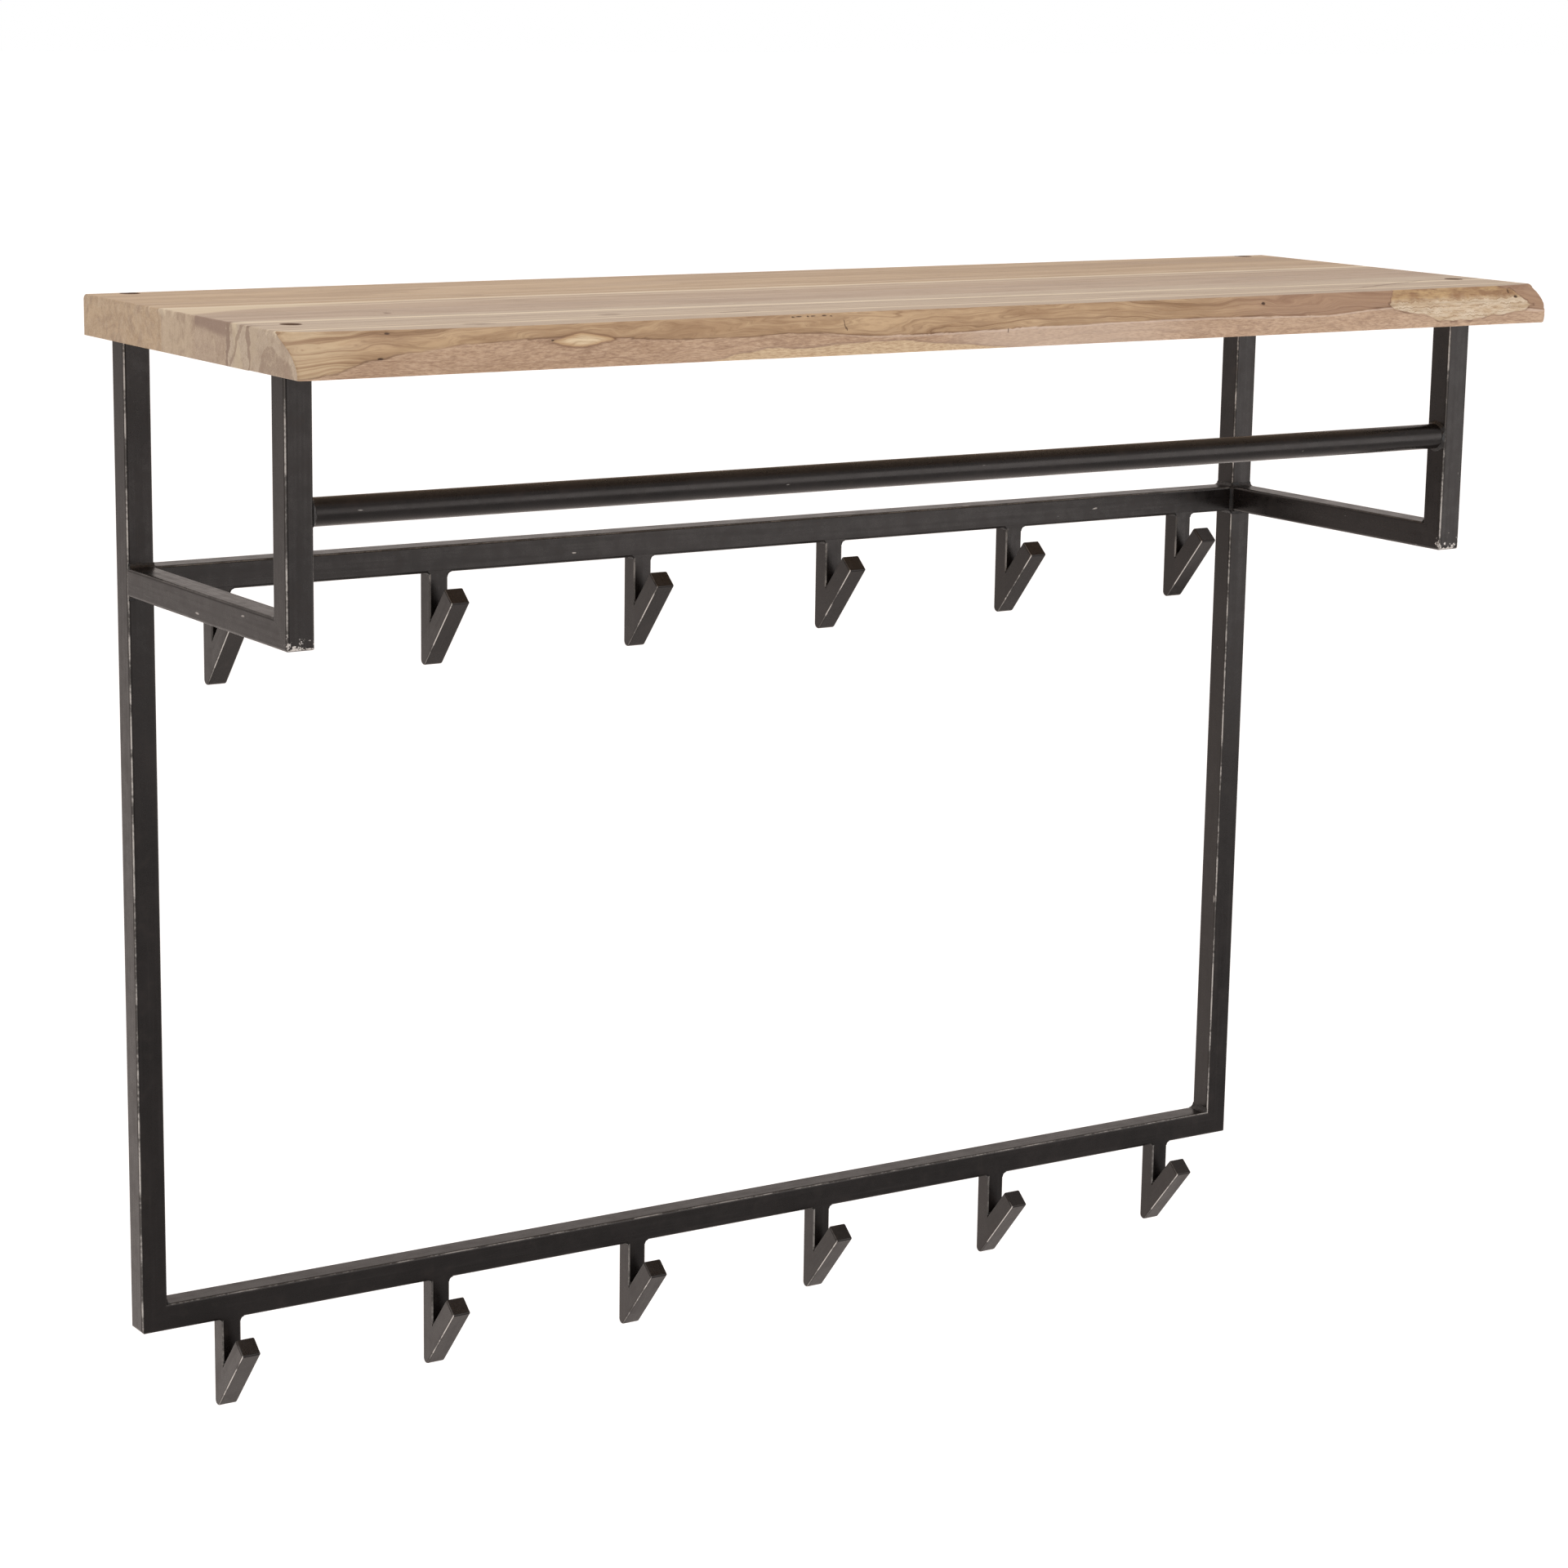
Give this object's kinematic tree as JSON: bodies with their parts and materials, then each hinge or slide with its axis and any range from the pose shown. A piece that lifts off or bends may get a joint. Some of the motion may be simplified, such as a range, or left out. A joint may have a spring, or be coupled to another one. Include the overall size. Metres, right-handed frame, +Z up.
{
  "type": "wall-mounted hall rack with shelf and hooks",
  "caption": "Wall rack for a hall: a live-edge wood shelf on a welded square-tube frame, with a hanging rod under the shelf and rows of V-shaped coat hooks.",
  "frame": {"origin": "middle of the four wall keyholes, on the back plane of the two uprights", "axes": "+X to the right seen from the room, +Y into the wall, +Z up"},
  "size_m": [1.036, 0.337, 0.815],
  "materials": {
    "acacia_1": "clear matt oil over sanded, edge-glued acacia",
    "acacia_2": "clear matt oil over sanded, edge-glued acacia",
    "acacia_3": "clear matt oil over sanded, edge-glued acacia",
    "acacia_4": "clear matt oil over sanded, edge-glued acacia",
    "acacia_5": "clear matt oil over sanded, edge-glued acacia",
    "blackened_steel": "black-brown patina under clear lacquer, rubbed bright along the edges",
    "black_fastener": "black oxide",
    "bare_steel": "bare"
  },
  "bodies": {
    "root": {"hanging_rod": "blackened_steel", "left_front_post": "blackened_steel", "left_side_arm": "blackened_steel", "left_upright": "blackened_steel", "lower_hook_1_prong": "blackened_steel", "lower_hook_1_stem": "blackened_steel", "lower_hook_2_prong": "blackened_steel", "lower_hook_2_stem": "blackened_steel", "lower_hook_3_prong": "blackened_steel", "lower_hook_3_stem": "blackened_steel", "lower_hook_4_prong": "blackened_steel", "lower_hook_4_stem": "blackened_steel", "lower_hook_5_prong": "blackened_steel", "lower_hook_5_stem": "blackened_steel", "lower_hook_6_prong": "blackened_steel", "lower_hook_6_stem": "blackened_steel", "lower_rail": "blackened_steel", "post_top_plugs": "bare_steel", "right_front_post": "blackened_steel", "right_side_arm": "blackened_steel", "right_upright": "blackened_steel", "shelf_bolts": "black_fastener", "shelf_stave_1": "acacia_1", "shelf_stave_2": "acacia_2", "shelf_stave_3": "acacia_3", "shelf_stave_4": "acacia_4", "shelf_stave_5": "acacia_5", "shelf_washers": "black_fastener", "upper_hook_1_prong": "blackened_steel", "upper_hook_1_stem": "blackened_steel", "upper_hook_2_prong": "blackened_steel", "upper_hook_2_stem": "blackened_steel", "upper_hook_3_prong": "blackened_steel", "upper_hook_3_stem": "blackened_steel", "upper_hook_4_prong": "blackened_steel", "upper_hook_4_stem": "blackened_steel", "upper_hook_5_prong": "blackened_steel", "upper_hook_5_stem": "blackened_steel", "upper_hook_6_prong": "blackened_steel", "upper_hook_6_stem": "blackened_steel", "upper_rail": "blackened_steel"}
  },
  "joints": []
}
